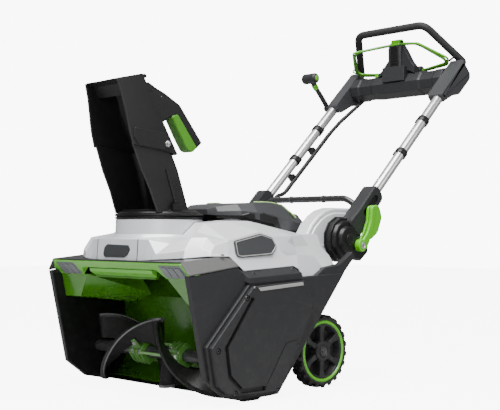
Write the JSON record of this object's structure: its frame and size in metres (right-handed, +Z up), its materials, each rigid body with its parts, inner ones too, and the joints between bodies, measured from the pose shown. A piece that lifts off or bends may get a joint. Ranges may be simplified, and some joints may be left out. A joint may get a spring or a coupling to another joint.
{
  "type": "snow blower",
  "caption": "Single-stage cordless snow blower: paddle auger housing on wheels, turning chute with tilting deflector, folding tube handle with start bail, hinged battery lid.",
  "frame": {"origin": "on the ground at the middle of the machine, below and just ahead of the handle pivots", "axes": "+X to the belt-cover side, -Y ahead through the auger mouth, +Y towards the handle, +Z up"},
  "size_m": [0.592, 1.2652, 1.0639],
  "materials": {
    "green_housing": "semi-gloss moulded green",
    "bright_green": "satin bright green",
    "dark_grey": "fine-textured dark grey",
    "black_plastic": "satin black",
    "silver_shell": "metallic silver grey",
    "steel": "zinc-plated",
    "battery_case": "textured",
    "lamp_reflector": "satin grey bezel",
    "lamp_lens": "clear lit lens",
    "badge": "plain dark badge",
    "cast_metal": "cast",
    "belt_rubber": "ribbed belt",
    "board": "circuit board",
    "black_steel": "black powder coat",
    "chute_grey": "fine-textured charcoal",
    "grip_green": "soft-touch green",
    "paddle_rubber": "moulded rubber",
    "green_steel": "green powder coat",
    "tyre": "lugged rubber",
    "lid_grey": "satin dark grey",
    "lid_window": "translucent pale green",
    "tube_silver": "satin anodised",
    "grip_foam": "foam grip",
    "cable_black": "cable sheath",
    "lime_green": "bright lime",
    "bail_green": "green coated wire",
    "lever_grey": "dark grey"
  },
  "bodies": {
    "housing": {"auger_drum": "green_housing", "front_bezel": "bright_green", "left_side_plate": "dark_grey", "right_side_plate": "dark_grey", "belt_cover": "dark_grey", "scraper_bar": "black_plastic", "skid_shoes": "black_plastic", "front_deck": "dark_grey", "top_shroud": "silver_shell", "rear_frame": "dark_grey", "axle": "steel", "battery_bay": "black_plastic", "battery_packs": "battery_case", "headlight_housings": "lamp_reflector", "headlight_lenses": "lamp_lens", "chute_base_ring": "black_plastic", "badges": "badge", "motor": "cast_metal", "drive_belt": "belt_rubber", "idler_arm": "steel", "auger_bearings": "steel", "control_board": "board", "cover_screws": "black_steel", "pivot_hubs": "dark_grey"},
    "idler": {"idler_wheel": "steel"},
    "chute": {"chute_ring": "black_plastic", "lower_chute": "chute_grey"},
    "deflector": {"deflector": "chute_grey", "deflector_arm": "chute_grey", "deflector_grip": "grip_green"},
    "auger": {"auger_shaft": "black_steel", "auger_paddles": "paddle_rubber", "auger_brackets": "green_steel", "auger_bolts": "steel", "auger_pulley": "cast_metal"},
    "motor_rotor": {"motor_pulley": "cast_metal"},
    "left_wheel": {"left_tyre": "tyre", "left_rim": "dark_grey", "left_rim_ring": "bright_green"},
    "right_wheel": {"right_tyre": "tyre", "right_rim": "dark_grey", "right_rim_ring": "bright_green"},
    "lid": {"battery_lid": "lid_grey", "lid_window": "lid_window"},
    "handle": {"left_bracket": "dark_grey", "right_bracket": "dark_grey", "crossbar": "black_steel", "left_tube": "tube_silver", "right_tube": "tube_silver", "tube_clips": "black_plastic", "console": "dark_grey", "console_caps": "dark_grey", "grip_loop": "grip_foam", "conduit": "black_plastic", "control_cable": "cable_black"},
    "left_lever": {"left_cam_lever": "lime_green"},
    "right_lever": {"right_cam_lever": "lime_green"},
    "bail": {"bail": "bail_green"},
    "button": {"start_button": "lime_green"},
    "chute_control": {"chute_lever": "lever_grey"}
  },
  "joints": [
    {"name": "handle_fold", "type": "hinge", "parent": "housing", "child": "handle", "pos_m": [0, 0.025, 0.384], "axis": [1, 0, 0], "range_deg": [-8, 85]},
    {"name": "left_lever_swing", "type": "hinge", "parent": "handle", "child": "left_lever", "pos_m": [-0.239, 0.062, 0.368], "axis": [-1, 0, 0], "range_deg": [0, 100]},
    {"name": "right_lever_swing", "type": "hinge", "parent": "handle", "child": "right_lever", "pos_m": [0.239, 0.062, 0.368], "axis": [-1, 0, 0], "range_deg": [0, 100]},
    {"name": "bail_pull", "type": "hinge", "parent": "handle", "child": "bail", "pos_m": [0, 0.582, 0.925], "axis": [-1, 0, 0], "range_deg": [0, 22], "stiffness_Nm_per_rad": 1.2, "springref_deg": -8.59},
    {"name": "start_press", "type": "slide", "parent": "handle", "child": "button", "axis": [0, 0, -1], "range_m": [0, 0.004], "stiffness_N_per_m": 400, "springref_m": -0.002},
    {"name": "chute_turn", "type": "hinge", "parent": "housing", "child": "chute", "pos_m": [0, -0.445, 0.44], "axis": [0, 0, 1], "range_deg": [-90, 90]},
    {"name": "chute_lever_tilt", "type": "hinge", "parent": "handle", "child": "chute_control", "pos_m": [-0.243, 0.47971, 0.82005], "axis": [0, 0.7218, 0.6921], "range_deg": [-18.01, 18.01]},
    {"name": "deflector_tilt", "type": "hinge", "parent": "chute", "child": "deflector", "pos_m": [0, -0.487, 0.618], "axis": [1, 0, 0], "range_deg": [0, 25]},
    {"name": "auger_spin", "type": "hinge", "parent": "housing", "child": "auger", "pos_m": [0, -0.433, 0.094], "axis": [1, 0, 0], "continuous": true},
    {"name": "motor_spin", "type": "hinge", "parent": "housing", "child": "motor_rotor", "pos_m": [0.28, -0.272, 0.208], "axis": [1, 0, 0], "continuous": true},
    {"name": "idler_spin", "type": "hinge", "parent": "housing", "child": "idler", "pos_m": [0.285, -0.30649, 0.1109], "axis": [1, 0, 0], "continuous": true},
    {"name": "left_wheel_spin", "type": "hinge", "parent": "housing", "child": "left_wheel", "pos_m": [-0.24, -0.105, 0.095], "axis": [1, 0, 0], "continuous": true},
    {"name": "right_wheel_spin", "type": "hinge", "parent": "housing", "child": "right_wheel", "pos_m": [0.24, -0.105, 0.095], "axis": [1, 0, 0], "continuous": true},
    {"name": "lid_open", "type": "hinge", "parent": "housing", "child": "lid", "pos_m": [0, -0.036, 0.436], "axis": [1, 0, 0], "range_deg": [-70, 0]}
  ],
  "couplings": [
    {"joint": "motor_spin", "follows": "auger_spin", "ratio": 3},
    {"joint": "idler_spin", "follows": "auger_spin", "ratio": -4},
    {"joint": "chute_lever_tilt", "follows": "chute_turn", "ratio": 0.2}
  ]
}
